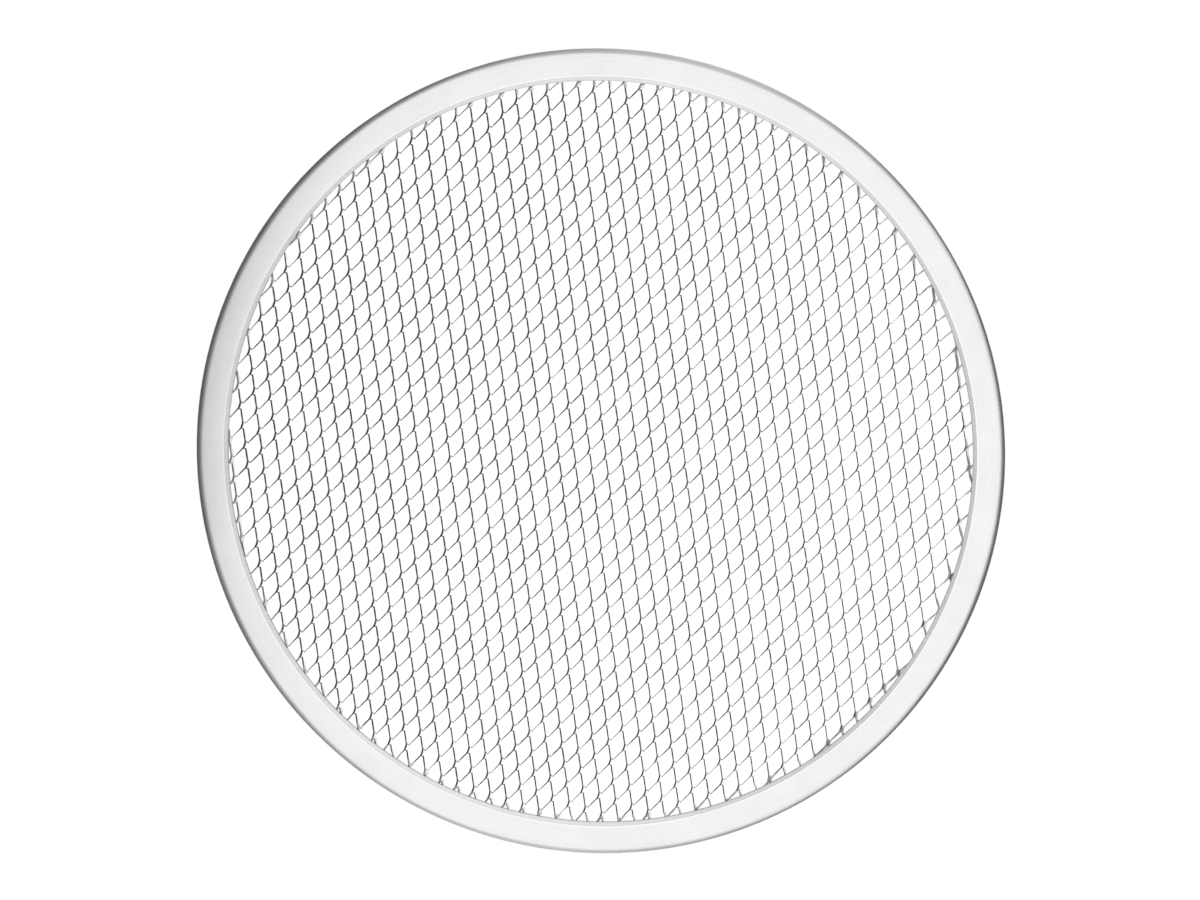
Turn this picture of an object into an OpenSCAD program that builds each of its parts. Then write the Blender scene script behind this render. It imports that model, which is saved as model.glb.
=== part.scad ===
/* [Rim] */
// Outside diameter of the screen
screen_d = 305; // [220:1:320]
// Width of the rim, from its outer fold to the edge of its lips
rim_w = 12.4; // [9:0.1:25]
// Height of the rim over both flanges
rim_h = 2.8; // [2.6:0.1:4]
// Thickness of the sheet that the rim is folded from
rim_sheet = 0.5; // [0.3:0.05:0.6]
// Width of the fold, from the outline to where the flanges become flat
fold_w = 2.9; // [1.5:0.1:4]
// Outside radius of the fold at the outline
fold_nose_r = 1; // [0.7:0.05:1.2]
// Width of the lip that each flange turns down on to the mesh
lip_w = 1.8; // [1.3:0.1:3]
// Inside radius of the bend where a flange becomes its lip
lip_bend_r = 0.8; // [0.3:0.1:1.5]
// Depth to which the nose of a lip is pressed flat
lip_press = 0.05; // [0.02:0.01:0.1]

/* [Mesh] */
// Long way of one opening, between the middles of two bonds
long_way = 13.63; // [12.5:0.01:30]
// Short way of one opening, between the middles of two bonds
short_way = 6.49; // [6:0.01:15]
// Width of a strand's edge
strand_w = 0.75; // [0.5:0.05:1.2]
// Height of a strand
strand_h = 1.5; // [1.2:0.05:1.7]
// Distance by which the stretching tips the foot of a strand sideways
strand_tip = 0.5; // [0:0.05:0.8]
// Height by which the strands that lean left stand above those that lean right
mesh_rise = 1; // [0.6:0.05:1.1]
// Height to which the rim crushes the mesh
crush_h = 1; // [0.8:0.05:1.1]
// Width of the border where the mesh comes down to its crushed height
crush_w = 3; // [1:0.1:6]
// Length of mesh that is gripped inside the rim, past the edge of the lips
mesh_grip = 3; // [2:0.1:6]
// Distance of the middle bond from the screen's middle, along the short way
bond_x = 0; // [0:0.1:3]
// Distance of the middle bond from the screen's middle, along the long way
bond_y = 6.1; // [0:0.1:6.8]

/* [Hidden] */
$fn = 128;
arc_steps = 10;
overshoot = 1;
right_angle = 90;

screen_r = screen_d / 2;
flange_z = rim_h / 2;
half_sheet = rim_sheet / 2;
lip_edge_r = screen_r - rim_w;

// The fold: a tight nose at the outline that runs into a wide shoulder on each side
nose_x = screen_r - fold_nose_r;
shoulder_x = screen_r - fold_w;
shoulder_turn = 2 * atan2(flange_z - fold_nose_r, fold_w - fold_nose_r);
shoulder_r = fold_nose_r + (fold_w - fold_nose_r) / sin(shoulder_turn);
shoulder_z = flange_z - shoulder_r;

// The lip: a bend that runs into a straight slope, which ends in a round tip pressed on to the mesh
bend_r = lip_bend_r + rim_sheet;
bend_x = lip_edge_r + lip_w;
bend_z = flange_z - bend_r;
tip = [lip_edge_r + half_sheet, crush_h / 2 + half_sheet - lip_press];
bend_to_tip = [bend_x - tip.x, tip.y - bend_z];
lip_turn = atan2(bend_to_tip.x, bend_to_tip.y) - acos((bend_r - half_sheet) / norm(bend_to_tip));
press_turn = asin(1 - lip_press / half_sheet);
press_x = tip.x + (half_sheet - (half_sheet - lip_press) * cos(lip_turn)) / sin(lip_turn);

mesh_h = strand_h + mesh_rise;
mesh_r = lip_edge_r + mesh_grip;

// Strands run straight from bond to bond; every row of them leans to one side of the long way
bond_step = norm([short_way, long_way]) / 2;
row_step = short_way * long_way / 2 / bond_step;
row_lean = atan2(short_way, long_way);

// Half the length of a row at the given distance from the middle of the mesh
function half_row(distance) = sqrt(max(0, pow(mesh_r, 2) - pow(distance, 2)));

// Points of an arc about a centre, as far as the given step
function arc(centre, r, from, to, last = arc_steps) = [
  for (step = [0:last])
    let (angle = from + (to - from) * step / arc_steps)
      centre + r * [cos(angle), sin(angle)]
];

// The same points on the other flange, in the opposite order
function flipped(points) = [
  for (i = [len(points) - 1:-1:0])
    [points[i].x, -points[i].y]
];

// The upper lip's tip, from the flat on the mesh round to the sheet's outside
function lip_tip() = concat(
  [[press_x, crush_h / 2]],
  arc(tip, half_sheet, 2 * right_angle + press_turn, right_angle + lip_turn)
);

// The upper flange from its lip to its shoulder, at a depth below the sheet's outside
function flange(depth) = concat(
  arc([bend_x, bend_z], bend_r - depth, right_angle + lip_turn, right_angle),
  arc([shoulder_x, shoulder_z], shoulder_r - depth, right_angle, right_angle - shoulder_turn, arc_steps - 1)
);

// One face of the rim's sheet, from the upper lip round the fold to the lower lip
function sheet_face(depth) = concat(
  flange(depth),
  arc([nose_x, 0], fold_nose_r - depth, right_angle - shoulder_turn, shoulder_turn - right_angle),
  flipped(flange(depth))
);

// The points of a list in the opposite order
function reversed(points) = [for (i = [len(points) - 1:-1:0]) points[i]];

// The rim: one sheet folded round the edge of the mesh, with both lips pressed on to it
module rim() {
  color("gainsboro")
    translate([0, 0, flange_z])
      rotate_extrude()
        polygon(concat(
          lip_tip(),
          sheet_face(0),
          flipped(lip_tip()),
          reversed(sheet_face(rim_sheet))
        ));
}

// One row of strands along the long way, whose section is a leaning bar as the stretching leaves it
module row(half_length) {
  left = -(strand_w + strand_tip) / 2;
  rotate([right_angle, 0, 0])
    linear_extrude(2 * half_length, center = true)
      polygon([
        [left, strand_h],
        [left + strand_w, strand_h],
        [left + strand_w + strand_tip, 0],
        [left + strand_tip, 0]
      ]);
}

// All the rows that lean to one side: side is 1 for the left and -1 for the right
module rows(side) {
  middle = bond_x * cos(row_lean) + side * bond_y * sin(row_lean);
  count = ceil(mesh_r / row_step) + 1;
  for (number = [-count:count]) {
    distance = number * row_step + middle;
    half_length = half_row(distance);
    if (half_length > 0)
      rotate(side * row_lean)
        translate([distance, 0, 0])
          row(half_length + overshoot);
  }
}

// The space that the mesh fills: raised in the open, and crushed where the rim grips it
module blank() {
  rotate_extrude()
    polygon([
      [0, -mesh_h / 2],
      [lip_edge_r - crush_w, -mesh_h / 2],
      [lip_edge_r, -crush_h / 2],
      [mesh_r, -crush_h / 2],
      [mesh_r, crush_h / 2],
      [lip_edge_r, crush_h / 2],
      [lip_edge_r - crush_w, mesh_h / 2],
      [0, mesh_h / 2]
    ]);
}

// The mesh: one slit and stretched sheet, whose strands are one piece at every bond
module mesh() {
  color("silver")
    translate([0, 0, flange_z])
      intersection() {
        translate([0, 0, -mesh_h / 2]) {
          rows(-1);
          translate([0, 0, mesh_rise])
            rows(1);
        }
        blank();
      }
}

rim();
mesh();
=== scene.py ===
"""Dresses the pizza screen: a folded rim and a raised expanded mesh, in soft studio light."""

import math

import bmesh
import bpy
from mathutils import Matrix, Vector


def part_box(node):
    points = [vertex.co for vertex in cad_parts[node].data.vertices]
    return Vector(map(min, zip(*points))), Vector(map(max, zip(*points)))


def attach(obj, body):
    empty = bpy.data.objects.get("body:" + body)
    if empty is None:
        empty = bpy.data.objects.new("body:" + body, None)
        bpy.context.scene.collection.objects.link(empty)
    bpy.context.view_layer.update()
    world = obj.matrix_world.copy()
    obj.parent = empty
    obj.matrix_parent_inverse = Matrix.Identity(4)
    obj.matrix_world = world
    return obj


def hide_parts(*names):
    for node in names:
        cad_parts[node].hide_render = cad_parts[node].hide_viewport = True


bl_info = {
    "name": "Pizza screen",
    "version": (1, 0, 0),
    "blender": (4, 5, 0),
    "location": "View3D > Sidebar > Screen",
    "description":
        "Makes a round baking screen of expanded mesh in a folded rim, and a studio for it",
    "category": "Add Mesh",
}

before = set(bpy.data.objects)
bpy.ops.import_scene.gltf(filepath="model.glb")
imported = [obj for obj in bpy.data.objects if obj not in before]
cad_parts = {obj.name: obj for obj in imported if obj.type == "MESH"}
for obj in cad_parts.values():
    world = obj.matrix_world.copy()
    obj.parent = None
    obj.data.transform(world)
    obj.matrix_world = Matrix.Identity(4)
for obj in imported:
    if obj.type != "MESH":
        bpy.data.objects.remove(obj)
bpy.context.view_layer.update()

RIM_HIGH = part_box("rim")[1]
MM = 0.001
TAU = 2 * math.pi

# Steps of the arcs in the rim's section: in a lip's tip, outside the sheet and inside it
TIP_STEPS = 8
OUTER_STEPS = 6
INNER_STEPS = 3
# Share of the lip's slope, next to its tip, after which its shading is flat
SUPPORT_SHARE = 0.1
# Painted highlight and shade lines on the lips and flanges: distance outwards from the lip's crease
# and half width in millimetres, and how much lighter the line is
PAINTED_LIGHT_LINES = (
    (0.0, 0.3, 0.2),
    (-0.45, 0.25, -0.08),
    (-0.85, 0.25, 0.07),
    (-1.9, 0.4, -0.2),
    (7.4, 0.3, -0.03),
)
# Distance from the lip's nominal width to the crease that is seen
CREASE_OFFSET = 0.1 * MM
# Distances from the crease between which the look of the lip ends
LIP_START, LIP_END = -0.5 * MM, 0.1 * MM
# Width of the outline that wear has lightened in spots, and the speckles that become spots
WORN_WIDTH = 0.5 * MM
SPOT_START, SPOT_END = 0.5, 0.7
# Shares of the marks in the rim's relief
BRUSHED_RELIEF, SPECKLE_RELIEF, PULL_RELIEF = 0.25, 0.05, 0.7

# Places of a strand's rings, from the middle of a bond towards the middle of the free length
RING_PLACES = (0, 0.54 * MM, 1 * MM, 1.62 * MM)
# Half the length of the soft corner where a strand leaves a bond
SOFT_CORNER = 0.45 * MM
# Shares of the way from a high bond to a low one between which the thickness changes evenly
THIN_PLACES = (0, 0.15, 0.5, 0.85, 1)
# Points of neighbouring repeats that lie closer than this are one
JOIN_DISTANCE = 0.01 * MM
# Distance past the disc to which bonds are laid, as a share of the long way
SPARE_SHARE = 0.75
# Noise in the mesh: patches of thicker and thinner strands, and their wander
NOISE_MIDDLE = 0.5
PATCH_SCALE, PATCH_CONTRAST, PATCH_SEED = 110, 4, 7
WANDER_SCALE, WANDER_DETAIL = 60, 1
# Share of a face's corners that stands for all of them, and how near to each other numbers match
ALL_CORNERS = 0.99
NEAR_ENOUGH = 0.1
# Border next to the lips, counted inwards from their edge, in which they scuff the mesh and painted
# light lightens its sheared edges
SCUFF_AND_LIGHT_START, SCUFF_AND_LIGHT_END = 3 * MM, 1 * MM

SENSOR_WIDTH = 36
CAMERA_REACH = (0.1, 100)
FLOOR_HALF = 12


class RimSettings(bpy.types.PropertyGroup):
    """Sizes and finish of the folded rim."""

    radius: bpy.props.FloatProperty(
        name="Radius", description="Outside radius of the screen",
        default=RIM_HIGH.x, min=0.05, unit="LENGTH", precision=5)
    height: bpy.props.FloatProperty(
        name="Height", description="Height over both flanges",
        default=RIM_HIGH.z, min=0.001, unit="LENGTH", precision=5)
    width: bpy.props.FloatProperty(
        name="Width", description="From the outline to the edge of the lips",
        default=12.4 * MM, min=0.005, unit="LENGTH", precision=5)
    sheet: bpy.props.FloatProperty(
        name="Sheet", description="Thickness of the folded sheet",
        default=0.5 * MM, min=0.0001, unit="LENGTH", precision=5)
    fold_width: bpy.props.FloatProperty(
        name="Fold width", description="From the outline to where the flanges become flat",
        default=2.9 * MM, min=0.001, unit="LENGTH", precision=5)
    nose_radius: bpy.props.FloatProperty(
        name="Nose radius", description="Outside radius of the fold at the outline",
        default=1 * MM, min=0.0001, unit="LENGTH", precision=5)
    lip_width: bpy.props.FloatProperty(
        name="Lip width", description="Width of the lip that presses on the mesh",
        default=1.8 * MM, min=0.0005, unit="LENGTH", precision=5)
    lip_bend: bpy.props.FloatProperty(
        name="Lip bend", description="Inside radius of the bend where a flange becomes its lip",
        default=0.8 * MM, min=0.0001, unit="LENGTH", precision=5)
    segments: bpy.props.IntProperty(
        name="Segments", description="Steps of the rim round the screen", default=384, min=48)
    colour: bpy.props.FloatVectorProperty(
        name="Colour", description="Colour of the rim's aluminium",
        subtype="COLOR", size=3, default=(0.89, 0.89, 0.89), min=0, max=1)
    roughness: bpy.props.FloatProperty(
        name="Roughness", description="Roughness of the rim's satin finish",
        default=0.27, min=0, max=1, subtype="FACTOR")
    lip_roughness: bpy.props.FloatProperty(
        name="Lip roughness", description="How much rougher the lips are than the flanges",
        default=0.13, min=0, max=1, subtype="FACTOR")
    clouds: bpy.props.FloatProperty(
        name="Clouds", description="How far soft patches change the colour",
        default=0.1, min=0, max=0.5, subtype="FACTOR")
    speckles: bpy.props.FloatProperty(
        name="Speckles", description="How far fine speckles change the colour",
        default=0.025, min=0, max=0.5, subtype="FACTOR")
    brushing: bpy.props.FloatProperty(
        name="Brushing", description="How far fine marks round the ring change the colour",
        default=0.05, min=0, max=0.5, subtype="FACTOR")
    pulls: bpy.props.FloatProperty(
        name="Pulls", description="How far the marks of drawing change the colour of the lips",
        default=0.1, min=0, max=0.5, subtype="FACTOR")
    # Painted shade: the lips' colour is this share of the flanges'
    lip_painted_shade: bpy.props.FloatProperty(
        name="Lip painted shade", description="Brightness of the lips, as a share of the flanges'",
        default=0.99, min=0, max=1, subtype="FACTOR")
    wear: bpy.props.FloatProperty(
        name="Wear", description="How much lighter the worn spots of the outline are",
        default=0.12, min=0, max=0.5, subtype="FACTOR")


class MeshSettings(bpy.types.PropertyGroup):
    """Sizes and finish of the expanded mesh."""

    long_way: bpy.props.FloatProperty(
        name="Long way", description="Long way of an opening, between bond middles",
        default=13.63 * MM, min=0.002, unit="LENGTH", precision=5)
    short_way: bpy.props.FloatProperty(
        name="Short way", description="Short way of an opening, between bond middles",
        default=6.49 * MM, min=0.001, unit="LENGTH", precision=5)
    strand_width: bpy.props.FloatProperty(
        name="Strand width", description="Width of a strand between its two slits",
        default=1.27 * MM, min=0.0002, unit="LENGTH", precision=5)
    sheet: bpy.props.FloatProperty(
        name="Sheet", description="Thickness of the slit sheet",
        default=0.8 * MM, min=0.0001, unit="LENGTH", precision=5)
    thin_before: bpy.props.FloatVectorProperty(
        name="Thin before", size=4, min=0.2, max=1.5, default=(0.54, 0.58, 0.4, 0.68),
        description="Share of the thickness left before a high bond, from that bond to the low one")
    thin_after: bpy.props.FloatVectorProperty(
        name="Thin after", size=4, min=0.2, max=1.5, default=(0.75, 0.98, 0.97, 0.68),
        description="Share of the thickness left after a high bond, from that bond to the low one")
    lean: bpy.props.FloatProperty(
        name="Lean", description="Angle by which the stretching turns the strands out of the flat",
        default=math.radians(58), min=0, max=math.radians(80), subtype="ANGLE")
    bond: bpy.props.FloatProperty(
        name="Bond", description="Length of a bond along the long way",
        default=1.9 * MM, min=0.0002, unit="LENGTH", precision=5)
    fork: bpy.props.FloatProperty(
        name="Fork",
        description="Length for which a strand follows its neighbour before a low bond",
        default=0.5 * MM, min=0.0002, unit="LENGTH", precision=5)
    middle: bpy.props.FloatVectorProperty(
        name="Middle bond", description="Place of the middle bond",
        size=2, default=(-0.16 * MM, 6.17 * MM), subtype="TRANSLATION", unit="LENGTH", precision=5)
    pitches: bpy.props.IntProperty(
        name="Pitches", description="Pitches over which bonds are laid, the long way and the short",
        default=48, min=2)
    seed: bpy.props.IntProperty(
        name="Seed", description="Choice of the mesh's unevenness", default=4)
    crushed: bpy.props.FloatProperty(
        name="Crushed height", description="Height of the mesh where the lips grip it",
        default=1 * MM, min=0.0002, unit="LENGTH", precision=5)
    crush_width: bpy.props.FloatProperty(
        name="Crush width", description="Width of the border where the mesh is crushed",
        default=0.9 * MM, min=0.0002, unit="LENGTH", precision=5)
    grip: bpy.props.FloatProperty(
        name="Grip", description="Length of mesh that is held inside the rim",
        default=3 * MM, min=0.0005, unit="LENGTH", precision=5)
    waver: bpy.props.FloatProperty(
        name="Waver", description="How far the strands wander from a perfect pattern",
        default=0.1 * MM, min=0, unit="LENGTH", precision=5)
    uneven: bpy.props.FloatVectorProperty(
        name="Uneven", size=2, default=(0.5, 0.15), min=0, max=0.9,
        description="How much the thickness varies before and after a high bond, as a share")
    slant: bpy.props.FloatProperty(
        name="Slant", description="Change of thickness along +X, as a share for each metre",
        default=-1.7, min=-3, max=3)
    face_colour: bpy.props.FloatVectorProperty(
        name="Face colour", description="Colour of the sheet's rolled faces",
        subtype="COLOR", size=3, default=(0.95, 0.95, 0.95), min=0, max=1)
    face_roughness: bpy.props.FloatProperty(
        name="Face roughness", description="Roughness of the sheet's rolled faces",
        default=0.2, min=0, max=1, subtype="FACTOR")
    # Painted shade: the sheared edges are a dark grey, partly their sheared finish and partly
    # painted shade
    edge_colour_and_shade: bpy.props.FloatVectorProperty(
        name="Edge colour and shade", description="Colour of the strands' sheared edges",
        subtype="COLOR", size=3, default=(0.3, 0.3, 0.3), min=0, max=1)
    edge_roughness: bpy.props.FloatProperty(
        name="Edge roughness", description="Roughness of the strands' sheared edges",
        default=0.33, min=0, max=1, subtype="FACTOR")
    face_scuff: bpy.props.FloatProperty(
        name="Face scuff", description="How much rougher the faces are where the lips scuff them",
        default=0.4, min=0, max=1, subtype="FACTOR")
    edge_scuff: bpy.props.FloatProperty(
        name="Edge scuff", description="How much rougher the edges are where the lips scuff them",
        default=0.3, min=0, max=1, subtype="FACTOR")
    # Painted light: the sheared edges are made lighter next to the lips
    edge_painted_light: bpy.props.FloatProperty(
        name="Edge painted light", description="How much lighter the edges are where the lips scuff them",
        default=1.6, min=0, max=2)


class StageSettings(bpy.types.PropertyGroup):
    """Camera, floor and light."""

    distance: bpy.props.FloatProperty(
        name="Distance", description="From the camera to the screen",
        default=4.144, min=0.5, unit="LENGTH")
    lens: bpy.props.FloatProperty(
        name="Lens", description="Focal length in millimetres", default=331.3, min=20)
    tilt: bpy.props.FloatProperty(
        name="Tilt", description="Angle between the view and straight down",
        default=math.radians(8.53), subtype="ANGLE")
    bearing: bpy.props.FloatProperty(
        name="Bearing", description="Compass bearing of the camera, from +X towards +Y",
        default=math.radians(76.22), subtype="ANGLE")
    turn: bpy.props.FloatProperty(
        name="Turn", description="Turn of the picture's right-hand side from +X",
        default=math.radians(19.32), subtype="ANGLE")
    shift: bpy.props.FloatVectorProperty(
        name="Shift", description="Lens shift as a share of the picture's width",
        size=2, default=(0.2 / 1200, 2.5 / 1200), precision=5)
    box_turn: bpy.props.FloatProperty(
        name="Softbox turn", description="Turn of the softbox from +X",
        default=math.radians(8.3), subtype="ANGLE")
    box_size: bpy.props.FloatVectorProperty(
        name="Softbox size", description="Width and length of the softbox",
        size=2, default=(0.43, 0.52), min=0.01, unit="LENGTH")
    box_place: bpy.props.FloatVectorProperty(
        name="Softbox place", description="Place of the softbox before its turn",
        size=3, default=(0.047, -0.06, 0.25), subtype="TRANSLATION", unit="LENGTH")
    lamp_strength: bpy.props.FloatProperty(
        name="Lamp", description="Power of the softbox overhead, in watts", default=0.332, min=0)
    room_turn: bpy.props.FloatProperty(
        name="Room turn", description="Turn of the room's dark sides from +X",
        default=math.radians(5.3), subtype="ANGLE")
    room_bright: bpy.props.FloatProperty(
        name="Room bright", description="Brightness of the room overhead, in front and behind",
        default=0.62, min=0, max=1)
    room_dark: bpy.props.FloatProperty(
        name="Room dark", description="Brightness of the room to the sides",
        default=0.09, min=0, max=1)
    room_spread: bpy.props.FloatProperty(
        name="Room spread",
        description="Sine of the angle to the side at which the room is darkest",
        default=0.64, min=0.01, max=1)
    horizon: bpy.props.FloatProperty(
        name="Horizon", description="Brightness of the room at its horizon",
        default=0.8, min=0, max=1)
    horizon_band: bpy.props.FloatVectorProperty(
        name="Horizon band",
        description="Sines of the heights between which the horizon's light ends",
        size=2, default=(0.1, 0.3), min=0, max=1)
    floor_glow: bpy.props.FloatProperty(
        name="Floor white",
        description="Brightness of the floor in the picture, apart from its shadow",
        default=0.93, min=0, max=1)
    floor_shade: bpy.props.FloatProperty(
        name="Floor shade", description="How strongly the white floor shows a shadow",
        default=0.2, min=0, max=1, subtype="FACTOR")
    floor_bounce: bpy.props.FloatProperty(
        name="Floor bounce", description="Share of the light that the floor throws back",
        default=0.8, min=0, max=1, subtype="FACTOR")


def arc(centre, radius, start, end, steps, last=True):
    """Points of an arc, angles in degrees."""
    count = steps + 1 if last else steps
    points = []
    for step in range(count):
        angle = math.radians(start + (end - start) * step / steps)
        points.append((centre[0] + radius * math.cos(angle), centre[1] + radius * math.sin(angle)))
    return points


def rim_outline(rim, crushed):
    """Outline of the rim's sheet, heights counted from the middle of the rim."""
    flange = rim.height / 2
    half_sheet = rim.sheet / 2
    lip_edge = rim.radius - rim.width
    nose = (rim.radius - rim.nose_radius, 0)
    run = rim.fold_width - rim.nose_radius
    turn = 2 * math.degrees(math.atan2(flange - rim.nose_radius, run))
    shoulder_radius = rim.nose_radius + run / math.sin(math.radians(turn))
    shoulder = (rim.radius - rim.fold_width, flange - shoulder_radius)
    bend_radius = rim.lip_bend + rim.sheet
    bend = (lip_edge + rim.lip_width, flange - bend_radius)
    tip = (lip_edge + half_sheet, crushed / 2 + half_sheet)
    across, up = bend[0] - tip[0], tip[1] - bend[1]
    sweep = math.acos((bend_radius - half_sheet) / math.hypot(across, up))
    slope = math.degrees(math.atan2(across, up) - sweep)

    def face(depth, steps):
        upper = arc(bend, bend_radius - depth, 90 + slope, 90, steps)
        upper += arc(shoulder, shoulder_radius - depth, 90, 90 - turn, steps, last=False)
        fold = arc(nose, rim.nose_radius - depth, 90 - turn, turn - 90, 2 * steps)
        lower = [(r, -z) for r, z in reversed(upper)]
        return upper + fold + lower

    outside, inside = face(0, OUTER_STEPS), face(rim.sheet, INNER_STEPS)
    upper_tip = arc(tip, half_sheet, 270, 90 + slope, TIP_STEPS)
    support = [near + SUPPORT_SHARE * (far - near) for near, far in zip(upper_tip[-1], outside[0])]
    upper_tip.append(tuple(support))
    lower_tip = [(r, -z) for r, z in reversed(upper_tip)]
    return upper_tip + outside + lower_tip + list(reversed(inside))


def revolve(outline, segments, middle, name):
    """A closed ring made by turning an outline about the upright axis."""
    bm = bmesh.new()
    rings = []
    for step in range(segments):
        angle = TAU * step / segments
        c, s = math.cos(angle), math.sin(angle)
        rings.append([bm.verts.new((r * c, r * s, middle + z)) for r, z in outline])
    count = len(outline)
    for step in range(segments):
        here, there = rings[step], rings[(step + 1) % segments]
        for i in range(count):
            j = (i + 1) % count
            bm.faces.new((here[i], there[i], there[j], here[j]))
    bmesh.ops.recalc_face_normals(bm, faces=bm.faces)
    for face in bm.faces:
        face.smooth = True
    data = bpy.data.meshes.new(name)
    bm.to_mesh(data)
    bm.free()
    return data


def fill(tree, socket, value):
    """Gives a node's input its value; a value that is a socket is linked."""
    if isinstance(value, bpy.types.NodeSocket):
        tree.links.new(value, socket)
    else:
        socket.default_value = value


def add(tree, kind, **values):
    """A new node; in_ before a value's name sets the input of that name or number."""
    node = tree.nodes.new(kind)
    for key, value in values.items():
        if key.startswith("in_"):
            name = key[3:]
            fill(tree, node.inputs[int(name) if name.isdigit() else name.replace("_", " ")], value)
        else:
            setattr(node, key, value)
    return node


def maths(tree, kind, *values):
    """The result of a maths node; values are numbers or sockets."""
    node = add(tree, "ShaderNodeMath", operation=kind)
    for socket, value in zip(node.inputs, values):
        fill(tree, socket, value)
    return node.outputs[0]


def vectors(tree, kind, first, second):
    """The vector that a vector maths node gives; to scale, the second value is a number."""
    node = add(tree, "ShaderNodeVectorMath", operation=kind, in_0=first)
    fill(tree, node.inputs["Scale"] if kind == "SCALE" else node.inputs[1], second)
    return node.outputs["Vector"]


def level_radius(tree, place):
    """Distance of a place from the upright axis."""
    level = vectors(tree, "MULTIPLY", place, (1, 1, 0))
    return add(tree, "ShaderNodeVectorMath", operation="LENGTH", in_0=level).outputs["Value"]


def swing(tree, value, amount):
    """A value between 0 and 1 turned into a factor that swings about 1 by the amount."""
    return maths(tree, "MULTIPLY_ADD", value, 2 * amount, 1 - amount)


def lighten(tree, shade, where, amount):
    """A shade made lighter by an amount where a mask is 1."""
    return maths(tree, "MULTIPLY", shade, maths(tree, "MULTIPLY_ADD", where, amount, 1.0))


def grain(tree, place, scale, detail, roughness=0.5):
    """Noise between 0 and 1 at a place."""
    return add(tree, "ShaderNodeTexNoise", in_Vector=place, in_Scale=scale, in_Detail=detail,
               in_Roughness=roughness).outputs["Fac"]


def ramp(tree, value, start, end, low=0.0, high=1.0):
    """A smooth change from low to high while a value goes from start to end."""
    return add(tree, "ShaderNodeMapRange", interpolation_type="SMOOTHSTEP", in_Value=value,
               in_From_Min=start, in_From_Max=end, in_To_Min=low, in_To_Max=high).outputs["Result"]


def band(tree, value, middle, half):
    """1 at the middle of a narrow band, falling to 0 at its borders."""
    away = maths(tree, "ABSOLUTE", maths(tree, "SUBTRACT", value, middle))
    return ramp(tree, away, 0.0, half, 1.0, 0.0)


def new_metal(name, colour, roughness):
    """A new aluminium material, with its node tree, its shader and the place on the object."""
    material = bpy.data.materials.new(name)
    material.use_nodes = True
    tree = material.node_tree
    shader = tree.nodes["Principled BSDF"]
    shader.inputs["Base Color"].default_value = (*colour, 1)
    shader.inputs["Metallic"].default_value = 1
    shader.inputs["Roughness"].default_value = roughness
    place = add(tree, "ShaderNodeTexCoord").outputs["Object"]
    return material, tree, shader, place


def ring_place(tree, outward, radius, along, across):
    """A place for noise: its change for each radian along the ring and each metre across it."""
    height = maths(tree, "MULTIPLY", radius, across)
    upright = add(tree, "ShaderNodeCombineXYZ", in_Z=height).outputs[0]
    return vectors(tree, "ADD", vectors(tree, "SCALE", outward, along), upright)


def finish_metal(tree, shader, colour, rough, relief, strength, depth):
    """Links a material's colour, roughness and relief to its shader."""
    fill(tree, shader.inputs["Base Color"], colour)
    fill(tree, shader.inputs["Roughness"], rough)
    bump = add(tree, "ShaderNodeBump", in_Strength=strength, in_Distance=depth, in_Height=relief)
    fill(tree, shader.inputs["Normal"], bump.outputs["Normal"])


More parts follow.
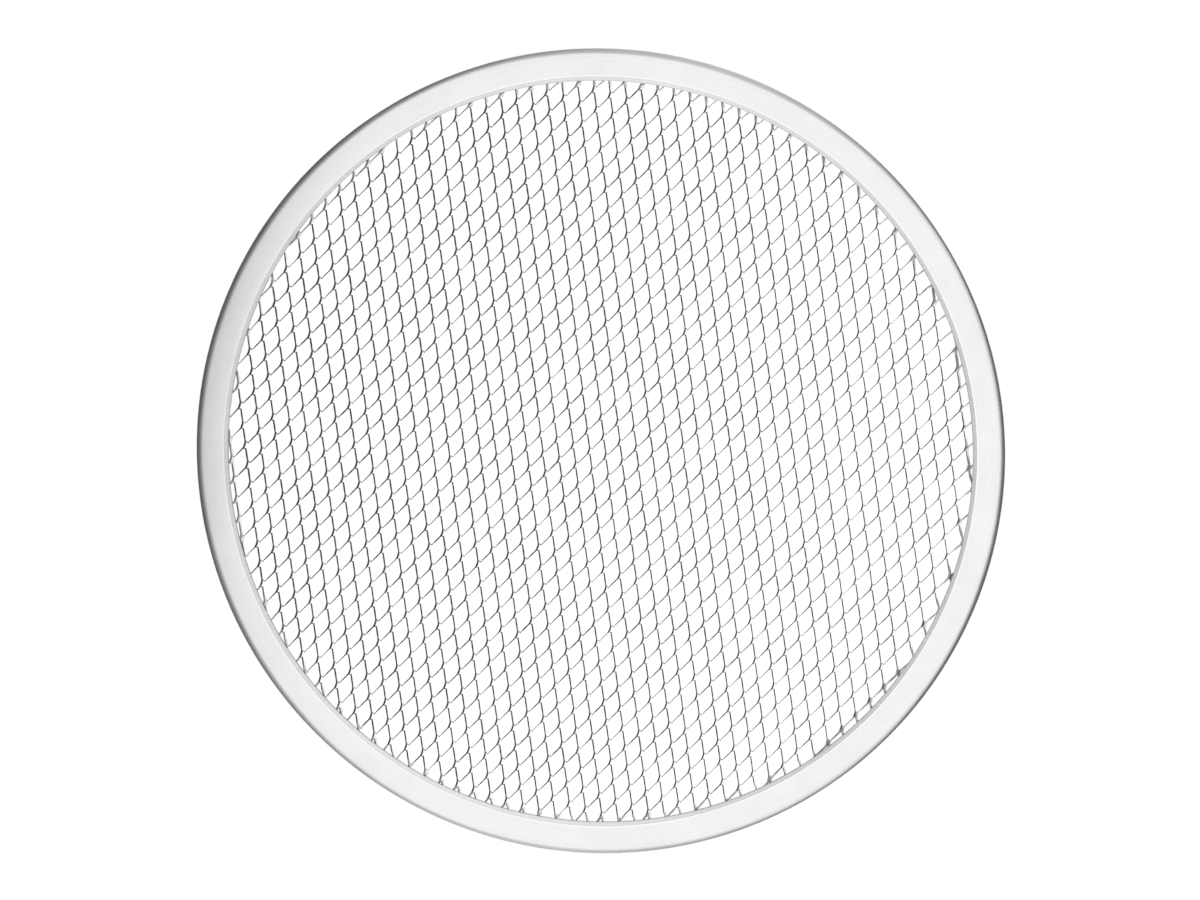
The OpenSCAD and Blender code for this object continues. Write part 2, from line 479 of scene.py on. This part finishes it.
def rim_material(rim):
    """Satin rolled sheet: clouds, marks round the ring, painted highlight and shade lines, and
    pulls and a painted shade on the lips.
    """
    material, tree, shader, place = new_metal("rim_aluminium", rim.colour, rim.roughness)
    radius = level_radius(tree, place)
    level = vectors(tree, "MULTIPLY", place, (1, 1, 0))
    outward = add(tree, "ShaderNodeVectorMath", operation="NORMALIZE", in_0=level).outputs["Vector"]
    ringwise = ring_place(tree, outward, radius, along=0.4, across=100.0)
    crosswise = ring_place(tree, outward, radius, along=20.0, across=3.0)
    cloud = grain(tree, place, scale=70.0, detail=4.0, roughness=0.6)
    speckle = grain(tree, place, scale=900.0, detail=2.0)
    brushed = grain(tree, ringwise, scale=12.0, detail=3.0, roughness=0.7)
    pulls = grain(tree, crosswise, scale=9.0, detail=2.0, roughness=0.6)
    crease = rim.radius - rim.width + rim.lip_width + CREASE_OFFSET
    on_lip = ramp(tree, radius, crease + LIP_START, crease + LIP_END, 1.0, 0.0)

    shade = swing(tree, cloud, rim.clouds)
    shade = maths(tree, "MULTIPLY", shade, swing(tree, speckle, rim.speckles))
    shade = maths(tree, "MULTIPLY", shade, swing(tree, brushed, rim.brushing))
    # The lips carry the marks of drawing and a painted shade
    pulls_and_painted_shade = maths(tree, "MULTIPLY", swing(tree, pulls, rim.pulls), rim.lip_painted_shade)
    shade = lighten(tree, shade, on_lip, maths(tree, "SUBTRACT", pulls_and_painted_shade, 1.0))
    # Painted highlight and shade lines round the crease and across the lip
    for distance, half, amount in PAINTED_LIGHT_LINES:
        line = band(tree, radius, crease + distance * MM, half * MM)
        shade = lighten(tree, shade, line, amount)
    outline = ramp(tree, radius, rim.radius - WORN_WIDTH, rim.radius)
    spots = ramp(tree, speckle, SPOT_START, SPOT_END)
    shade = lighten(tree, shade, maths(tree, "MULTIPLY", outline, spots), rim.wear)
    colour = vectors(tree, "SCALE", tuple(rim.colour), shade)

    rough = maths(tree, "MULTIPLY", swing(tree, cloud, amount=0.15), rim.roughness)
    rough = maths(tree, "ADD", rough, maths(tree, "MULTIPLY", on_lip, rim.lip_roughness))
    fine = maths(tree, "MULTIPLY", speckle, SPECKLE_RELIEF)
    relief = maths(tree, "ADD", maths(tree, "MULTIPLY", brushed, BRUSHED_RELIEF), fine)
    lip_pulls = maths(tree, "MULTIPLY", maths(tree, "MULTIPLY", pulls, on_lip), PULL_RELIEF)
    relief = maths(tree, "ADD", relief, lip_pulls)
    finish_metal(tree, shader, colour, rough, relief, strength=0.25, depth=0.05 * MM)
    return material


def scuff(tree, place, lip_edge):
    """1 next to the lips, where they crush and scuff the mesh and where the sheared edges get
    painted light, and 0 in the open.
    """
    return ramp(tree, level_radius(tree, place), lip_edge - SCUFF_AND_LIGHT_START, lip_edge - SCUFF_AND_LIGHT_END)


def strand_materials(mesh, lip_edge):
    """Bright rolled faces with a soft grain, and sheared edges with marks of the knife, dark grey
    by their finish and by painted shade, and lighter next to the lips by painted light.
    """
    face, tree, shader, place = new_metal("mesh_aluminium", mesh.face_colour, mesh.face_roughness)
    soft = grain(tree, place, scale=350.0, detail=3.0, roughness=0.6)
    colour = vectors(tree, "SCALE", tuple(mesh.face_colour), swing(tree, soft, amount=0.04))
    rough = maths(tree, "MULTIPLY", swing(tree, soft, amount=0.3), mesh.face_roughness)
    rough = maths(tree, "MULTIPLY_ADD", scuff(tree, place, lip_edge), mesh.face_scuff, rough)
    finish_metal(tree, shader, colour, rough, soft, strength=0.1, depth=0.03 * MM)

    # The sheared edges' dark grey is partly painted shade
    edge, tree, shader, place = new_metal("mesh_cut_edge", mesh.edge_colour_and_shade, mesh.edge_roughness)
    knife = vectors(tree, "MULTIPLY", place, (0.4, 1.0, 0.15))
    streaks = grain(tree, knife, scale=2200.0, detail=2.0, roughness=0.6)
    patches = grain(tree, place, scale=90.0, detail=2.0)
    scuffed_and_lit = scuff(tree, place, lip_edge)
    shade = swing(tree, streaks, amount=0.2)
    shade = maths(tree, "MULTIPLY", shade, swing(tree, patches, amount=0.3))
    # Painted light: the sheared edges are lighter next to the lips
    shade = lighten(tree, shade, scuffed_and_lit, mesh.edge_painted_light)
    colour = vectors(tree, "SCALE", tuple(mesh.edge_colour_and_shade), shade)
    rough = maths(tree, "MULTIPLY", swing(tree, streaks, amount=0.25), mesh.edge_roughness)
    rough = maths(tree, "MULTIPLY_ADD", scuffed_and_lit, mesh.edge_scuff, rough)
    finish_metal(tree, shader, colour, rough, streaks, strength=0.3, depth=0.03 * MM)
    return face, edge


def make_object(data, name):
    """A new object for a mesh, in the scene."""
    made = bpy.data.objects.new(name, data)
    bpy.context.scene.collection.objects.link(made)
    return made


class SCREEN_OT_rim(bpy.types.Operator):
    """Makes the folded rim"""

    bl_idname = "screen.rim"
    bl_label = "Make rim"

    def execute(self, context):
        rim = context.scene.screen_rim
        outline = rim_outline(rim, context.scene.screen_mesh.crushed)
        data = revolve(outline, rim.segments, rim.height / 2, "rim_dressed")
        data.materials.append(rim_material(rim))
        made = make_object(data, "rim_dressed")
        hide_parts("rim")
        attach(made, "root")
        return {"FINISHED"}


def strand_repeat(mesh):
    """One repeat of a strand along the long way, centred on the bond where it stands high.

    Each corner keeps three values for the pattern's node group: its distance from the strand's
    line across the strand and through the sheet, and how far its thickness may vary.
    """
    width_way = Vector((math.cos(mesh.lean), 0, -math.sin(mesh.lean)))
    sheet_way = Vector((math.sin(mesh.lean), 0, math.cos(mesh.lean)))
    half_width = mesh.strand_width / 2
    half_way, half_bond = mesh.long_way / 2, mesh.bond / 2
    places = [*RING_PLACES, half_way / 2] + [half_way - y for y in reversed(RING_PLACES)]
    before = [(-y, travel(y, half_way, half_bond, mesh.fork)) for y in places]
    after = [(y, travel(y, half_way, half_bond, half_bond)) for y in places]
    bm = bmesh.new()
    across, through, give = [
        bm.verts.layers.float.new(name) for name in ("across", "through", "give")]
    rings = []
    for y, share in before[:0:-1] + after:
        thin, uneven = mesh.thin_before, mesh.uneven[0]
        if y > 0:
            thin, uneven = mesh.thin_after, mesh.uneven[1]
        half_sheet = mesh.sheet / 2 * thickness_left(thin, share)
        line = Vector((-mesh.short_way / 2 * share, y, 0))
        ring = []
        for side_width, side_sheet in ((-1, 1), (1, 1), (1, -1), (-1, -1)):
            aside = half_width * (2 * share - 1 + side_width)
            corner = bm.verts.new(line + aside * width_way + side_sheet * half_sheet * sheet_way)
            corner[across] = aside
            corner[through] = side_sheet * half_sheet
            corner[give] = 4 * share * (1 - share) * uneven
            ring.append(corner)
        rings.append(ring)
    for here, there in zip(rings, rings[1:]):
        for i in range(4):
            j = (i + 1) % 4
            face = bm.faces.new((here[i], here[j], there[j], there[i]))
            face.material_index = i % 2
    data = bpy.data.meshes.new("strand")
    bm.to_mesh(data)
    bm.free()
    return data


def thickness_left(levels, share):
    """Share of the thickness that the stretching leaves between a high bond and a low one."""
    levels = (1, *levels)
    for start, end, before, after in zip(THIN_PLACES, THIN_PLACES[1:], levels, levels[1:]):
        if share <= end:
            return before + (after - before) * (share - start) / (end - start)
    return levels[-1]


def rounded(value):
    """0 below zero and the value itself above, with a soft corner between."""
    if value <= -SOFT_CORNER:
        return 0
    if value >= SOFT_CORNER:
        return value
    return (value + SOFT_CORNER) ** 2 / (4 * SOFT_CORNER)


def travel(y, half_way, high, low):
    """Share of the way from a high bond to a low one; high and low are half the bonds' lengths."""
    run = half_way - high - low
    return (rounded(y - high) - rounded(y - (half_way - low))) / run


def delete(tree, geometry, domain, selection):
    """Geometry without the selected part of it."""
    return add(tree, "GeometryNodeDeleteGeometry", domain=domain, in_Geometry=geometry,
               in_Selection=selection).outputs[0]


def bond_points(tree, given, position):
    """The points on which the strand's repeats are laid, to a little past the disc."""
    count = given["Count"]
    side = maths(tree, "ADD", maths(tree, "MULTIPLY", count, 2), 1)
    grid = add(tree, "GeometryNodeMeshGrid",
               in_Size_X=maths(tree, "MULTIPLY", count, given["Short way"]),
               in_Size_Y=maths(tree, "MULTIPLY", count, given["Long way"]),
               in_Vertices_X=side, in_Vertices_Y=side).outputs["Mesh"]
    between = maths(tree, "MODULO", add(tree, "GeometryNodeInputIndex").outputs[0], 2)
    bonds = delete(tree, grid, "POINT", between)
    shift = add(tree, "ShaderNodeCombineXYZ", in_X=given["Middle X"], in_Y=given["Middle Y"],
                in_Z=given["Height"]).outputs[0]
    bonds = add(tree, "GeometryNodeSetPosition", in_Geometry=bonds, in_Offset=shift).outputs[0]
    spare = maths(tree, "MULTIPLY", given["Long way"], SPARE_SHARE)
    reach = maths(tree, "ADD", given["Radius"], spare)
    far = maths(tree, "GREATER_THAN", level_radius(tree, position), reach)
    return delete(tree, bonds, "POINT", far)


def kept_value(tree, name):
    """The value that each corner of the strand keeps under a name."""
    return add(tree, "GeometryNodeInputNamedAttribute", data_type="FLOAT",
               in_Name=name).outputs["Attribute"]


def uneven_noise(tree, given, position, scale, detail, seed):
    """Outputs of a noise texture that the group's seed changes."""
    return add(tree, "ShaderNodeTexNoise", noise_dimensions="4D", in_Scale=scale, in_Detail=detail,
               in_Vector=position, in_W=maths(tree, "ADD", given["Seed"], seed)).outputs


def strand_places(tree, given, position, radius):
    """Where each point of the strands goes: uneven, crushed towards the rim and wandering."""
    apart = add(tree, "ShaderNodeSeparateXYZ", in_Vector=position).outputs
    across, through, give = [kept_value(tree, name) for name in ("across", "through", "give")]
    level, steep = maths(tree, "COSINE", given["Lean"]), maths(tree, "SINE", given["Lean"])

    # The strand's width is crushed about its line, by one share for each ring
    aside = maths(tree, "MULTIPLY_ADD", across, level, maths(tree, "MULTIPLY", through, steep))
    line = add(tree, "ShaderNodeCombineXYZ", in_X=maths(tree, "SUBTRACT", apart["X"], aside),
               in_Y=apart["Y"]).outputs[0]
    left = ramp(tree, level_radius(tree, line), given["Crush start"], given["Crush end"],
                1.0, given["Crushed share"])
    wide = maths(tree, "MULTIPLY", across, left)
    narrowed = maths(tree, "SUBTRACT", wide, across)

    # The sheet is thicker in some patches than in others, and its thickness changes along X
    patch = uneven_noise(tree, given, position, PATCH_SCALE, 0, PATCH_SEED)["Fac"]
    patch = maths(tree, "MULTIPLY", maths(tree, "SUBTRACT", patch, NOISE_MIDDLE), PATCH_CONTRAST)
    patch = maths(tree, "MINIMUM", maths(tree, "MAXIMUM", patch, -1), 1)
    swell = maths(tree, "ADD", maths(tree, "MULTIPLY", patch, give), 1)
    slant = maths(tree, "MULTIPLY", apart["X"], given["Slant"])
    thick = maths(tree, "MULTIPLY", through, maths(tree, "ADD", swell, slant))
    swollen = maths(tree, "SUBTRACT", thick, through)

    wander = uneven_noise(tree, given, position, WANDER_SCALE, WANDER_DETAIL, 0)["Color"]
    wander = vectors(tree, "SUBTRACT", wander, (NOISE_MIDDLE,) * 3)
    wander = add(tree, "ShaderNodeSeparateXYZ", in_Vector=wander).outputs
    waver = maths(tree, "MULTIPLY", given["Waver"], 2)

    x = maths(tree, "ADD", maths(tree, "MULTIPLY", narrowed, level),
              maths(tree, "MULTIPLY", swollen, steep))
    x = maths(tree, "ADD", apart["X"], x)
    x = maths(tree, "ADD", x, maths(tree, "MULTIPLY", wander["X"], waver))
    y = maths(tree, "ADD", apart["Y"], maths(tree, "MULTIPLY", wander["Y"], waver))
    rise = maths(tree, "SUBTRACT", maths(tree, "MULTIPLY", thick, level),
                 maths(tree, "MULTIPLY", wide, steep))
    z = maths(tree, "ADD", given["Height"], rise)
    # What lies past the disc goes back to its border
    back = maths(tree, "DIVIDE", given["Radius"], maths(tree, "MAXIMUM", radius, given["Radius"]))
    return add(tree, "ShaderNodeCombineXYZ", in_X=maths(tree, "MULTIPLY", x, back),
               in_Y=maths(tree, "MULTIPLY", y, back), in_Z=z).outputs[0]


def mesh_tree(materials):
    """Lays the strand's repeats over the disc, crushes the border and trims what lies past it."""
    tree = bpy.data.node_groups.new("expanded_mesh", "GeometryNodeTree")
    face = tree.interface
    face.new_socket("Geometry", in_out="INPUT", socket_type="NodeSocketGeometry")
    for name in ("Long way", "Short way", "Middle X", "Middle Y", "Radius", "Crush start",
                 "Crush end", "Lean", "Crushed share", "Height", "Waver", "Slant"):
        face.new_socket(name, in_out="INPUT", socket_type="NodeSocketFloat")
    for name in ("Count", "Seed"):
        face.new_socket(name, in_out="INPUT", socket_type="NodeSocketInt")
    face.new_socket("Geometry", in_out="OUTPUT", socket_type="NodeSocketGeometry")
    given = add(tree, "NodeGroupInput").outputs
    position = add(tree, "GeometryNodeInputPosition").outputs[0]

    bonds = bond_points(tree, given, position)
    strands = add(tree, "GeometryNodeInstanceOnPoints", in_Points=bonds,
                  in_Instance=given["Geometry"]).outputs[0]
    strands = add(tree, "GeometryNodeRealizeInstances", in_Geometry=strands).outputs[0]
    strands = add(tree, "GeometryNodeMergeByDistance", in_Geometry=strands,
                  in_Distance=JOIN_DISTANCE).outputs[0]

    radius = level_radius(tree, position)
    past = add(tree, "GeometryNodeCaptureAttribute")
    past.capture_items.new("FLOAT", "Past")
    fill(tree, past.inputs["Geometry"], strands)
    fill(tree, past.inputs["Past"], maths(tree, "GREATER_THAN", radius, given["Radius"]))
    strands = add(tree, "GeometryNodeSetPosition", in_Geometry=past.outputs[0],
                  in_Position=strand_places(tree, given, position, radius)).outputs[0]
    # A face goes only where all its corners lie past the disc
    outside = maths(tree, "GREATER_THAN", past.outputs["Past"], ALL_CORNERS)
    strands = delete(tree, strands, "FACE", outside)

    index = add(tree, "GeometryNodeInputMaterialIndex").outputs[0]
    for number, material in enumerate(materials):
        chosen = maths(tree, "COMPARE", index, number, NEAR_ENOUGH)
        strands = add(tree, "GeometryNodeSetMaterial", in_Geometry=strands, in_Material=material,
                      in_Selection=chosen).outputs[0]
    add(tree, "NodeGroupOutput", in_0=strands)
    return tree


def set_inputs(modifier, values):
    """Gives a Geometry Nodes modifier its inputs, by each socket's identifier."""
    for item in modifier.node_group.interface.items_tree:
        if item.in_out == "INPUT" and item.name in values:
            modifier[item.identifier] = values[item.name]


def close_ends(data):
    """Closes the cut ends of the strands."""
    bm = bmesh.new()
    bm.from_mesh(data)
    edges = [edge for edge in bm.edges if edge.is_boundary]
    bmesh.ops.holes_fill(bm, edges=edges, sides=0)
    bm.to_mesh(data)
    bm.free()


class SCREEN_OT_mesh(bpy.types.Operator):
    """Makes the expanded mesh"""

    bl_idname = "screen.mesh"
    bl_label = "Make mesh"

    def execute(self, context):
        rim, mesh = context.scene.screen_rim, context.scene.screen_mesh
        lip_edge = rim.radius - rim.width
        materials = strand_materials(mesh, lip_edge)
        repeat = strand_repeat(mesh)
        for material in materials:
            repeat.materials.append(material)
        source = make_object(repeat, "strand_repeat")
        # The strands lean, so that part of their height is the sheet's and part is their width's
        sheet_height = mesh.sheet * math.cos(mesh.lean)
        width_height = 2 * mesh.strand_width * math.sin(mesh.lean)
        modifier = source.modifiers.new("expand", "NODES")
        modifier.node_group = mesh_tree(materials)
        set_inputs(modifier, {
            "Long way": mesh.long_way, "Short way": mesh.short_way,
            "Middle X": mesh.middle[0], "Middle Y": mesh.middle[1],
            "Radius": lip_edge + mesh.grip,
            "Crush start": lip_edge - mesh.crush_width, "Crush end": lip_edge,
            "Lean": mesh.lean, "Crushed share": (mesh.crushed - sheet_height) / width_height,
            "Height": rim.height / 2, "Waver": mesh.waver, "Slant": mesh.slant,
            "Count": mesh.pitches, "Seed": mesh.seed,
        })
        depsgraph = context.evaluated_depsgraph_get()
        data = bpy.data.meshes.new_from_object(source.evaluated_get(depsgraph))
        if not data.polygons:
            raise RuntimeError("the mesh has no faces")
        data.name = "mesh_dressed"
        bpy.data.objects.remove(source)
        close_ends(data)
        made = make_object(data, "mesh_dressed")
        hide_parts("mesh")
        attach(made, "root")
        return {"FINISHED"}


def studio_world(stage):
    """Light from all round: bright overhead and at the horizon, dark to the picture's sides."""
    world = bpy.data.worlds.new("studio")
    bpy.context.scene.world = world
    world.use_nodes = True
    tree = world.node_tree
    shader = tree.nodes["Background"]
    direction = add(tree, "ShaderNodeTexCoord").outputs["Generated"]
    sideways = (math.cos(stage.room_turn), math.sin(stage.room_turn), 0)
    across = add(tree, "ShaderNodeVectorMath", operation="DOT_PRODUCT", in_0=direction,
                 in_1=sideways).outputs["Value"]
    fall = ramp(tree, maths(tree, "ABSOLUTE", across), 0.0, stage.room_spread,
                stage.room_bright, stage.room_dark)
    upward = add(tree, "ShaderNodeSeparateXYZ", in_Vector=direction).outputs["Z"]
    low = ramp(tree, upward, *stage.horizon_band, 1.0, 0.0)
    lift = maths(tree, "MULTIPLY", maths(tree, "SUBTRACT", stage.horizon, fall), low)
    fill(tree, shader.inputs["Color"], maths(tree, "ADD", fall, lift))
    shader.inputs["Strength"].default_value = 1


def white_floor(tree, glow, shade):
    """A shader that is white by itself and still shows a faint shadow."""
    light = add(tree, "ShaderNodeEmission", in_Strength=glow).outputs[0]
    ground = add(tree, "ShaderNodeBsdfDiffuse", in_Color=(shade, shade, shade, 1)).outputs[0]
    return add(tree, "ShaderNodeAddShader", in_0=ground, in_1=light).outputs[0]


def floor_material(stage):
    """White floor: to the camera and in the metal plain white with a shadow, clear from below."""
    material = bpy.data.materials.new("floor")
    material.use_nodes = True
    tree = material.node_tree
    tree.nodes.clear()
    path = add(tree, "ShaderNodeLightPath").outputs
    mirrored = maths(tree, "MAXIMUM", path["Is Glossy Ray"], path["Is Transmission Ray"])
    bounce = stage.floor_bounce
    plain = add(tree, "ShaderNodeBsdfDiffuse", in_Color=(bounce, bounce, bounce, 1)).outputs[0]
    seen = add(tree, "ShaderNodeMixShader", in_0=mirrored, in_1=plain,
               in_2=white_floor(tree, 1.0, stage.floor_shade)).outputs[0]
    seen = add(tree, "ShaderNodeMixShader", in_0=path["Is Camera Ray"], in_1=seen,
               in_2=white_floor(tree, stage.floor_glow, stage.floor_shade)).outputs[0]
    clear = add(tree, "ShaderNodeBsdfTransparent").outputs[0]
    under = add(tree, "ShaderNodeNewGeometry").outputs["Backfacing"]
    sided = add(tree, "ShaderNodeMixShader", in_0=under, in_1=seen, in_2=clear).outputs[0]
    add(tree, "ShaderNodeOutputMaterial", in_Surface=sided)
    return material


def make_floor(stage):
    """The floor under the screen."""
    data = bpy.data.meshes.new("floor")
    corners = [(-1, -1), (1, -1), (1, 1), (-1, 1)]
    data.from_pydata([(FLOOR_HALF * x, FLOOR_HALF * y, 0) for x, y in corners], [], [(0, 1, 2, 3)])
    data.materials.append(floor_material(stage))
    make_object(data, "floor")


def make_softbox(stage):
    """The softbox that hangs over the screen."""
    lamp = bpy.data.lights.new("softbox", "AREA")
    lamp.shape = "RECTANGLE"
    lamp.size, lamp.size_y = stage.box_size
    lamp.energy = stage.lamp_strength
    box = bpy.data.objects.new("softbox", lamp)
    turn = Matrix.Rotation(stage.box_turn, 4, "Z")
    box.matrix_world = turn @ Matrix.Translation(stage.box_place)
    box.visible_camera = False
    bpy.context.scene.collection.objects.link(box)


def make_camera(stage, height):
    """The camera of the picture, which looks at a height above the floor."""
    flat = math.sin(stage.tilt)
    back = Vector((flat * math.cos(stage.bearing), flat * math.sin(stage.bearing),
                   math.cos(stage.tilt)))
    right = Vector((math.cos(stage.turn), math.sin(stage.turn), 0))
    right = (right - back * right.dot(back)).normalized()
    up = back.cross(right)
    data = bpy.data.cameras.new("camera")
    data.sensor_width = SENSOR_WIDTH
    data.lens = stage.lens
    data.shift_x, data.shift_y = stage.shift
    data.clip_start, data.clip_end = CAMERA_REACH
    camera = bpy.data.objects.new("camera", data)
    place = Matrix.Translation(Vector((0, 0, height)) + back * stage.distance)
    camera.matrix_world = place @ Matrix((right, up, back)).transposed().to_4x4()
    bpy.context.scene.collection.objects.link(camera)
    bpy.context.scene.camera = camera


class SCREEN_OT_stage(bpy.types.Operator):
    """Makes the floor, the light and the camera"""

    bl_idname = "screen.stage"
    bl_label = "Make stage"

    def execute(self, context):
        stage = context.scene.screen_stage
        context.scene.view_settings.view_transform = "Standard"
        studio_world(stage)
        make_floor(stage)
        make_softbox(stage)
        make_camera(stage, context.scene.screen_rim.height / 2)
        return {"FINISHED"}


class SCREEN_PT_panel(bpy.types.Panel):
    """Lists the makers in the sidebar."""

    bl_label = "Pizza screen"
    bl_idname = "SCREEN_PT_panel"
    bl_space_type = "VIEW_3D"
    bl_region_type = "UI"
    bl_category = "Screen"

    def draw(self, context):
        for operator in OPERATORS:
            self.layout.operator(operator.bl_idname)


GROUPS = {"screen_rim": RimSettings, "screen_mesh": MeshSettings, "screen_stage": StageSettings}
OPERATORS = (SCREEN_OT_rim, SCREEN_OT_mesh, SCREEN_OT_stage)


def register():
    """Adds the settings, the makers and their panel to Blender."""
    for name, group in GROUPS.items():
        bpy.utils.register_class(group)
        setattr(bpy.types.Scene, name, bpy.props.PointerProperty(type=group))
    for operator in OPERATORS:
        bpy.utils.register_class(operator)
    bpy.utils.register_class(SCREEN_PT_panel)


def unregister():
    """Takes them out again, in the opposite order."""
    bpy.utils.unregister_class(SCREEN_PT_panel)
    for operator in reversed(OPERATORS):
        bpy.utils.unregister_class(operator)
    for name, group in reversed(GROUPS.items()):
        delattr(bpy.types.Scene, name)
        bpy.utils.unregister_class(group)


def main():
    """Makes every piece and the stage."""
    register()
    bpy.ops.screen.rim()
    bpy.ops.screen.mesh()
    bpy.ops.screen.stage()


if __name__ == "__main__":
    main()
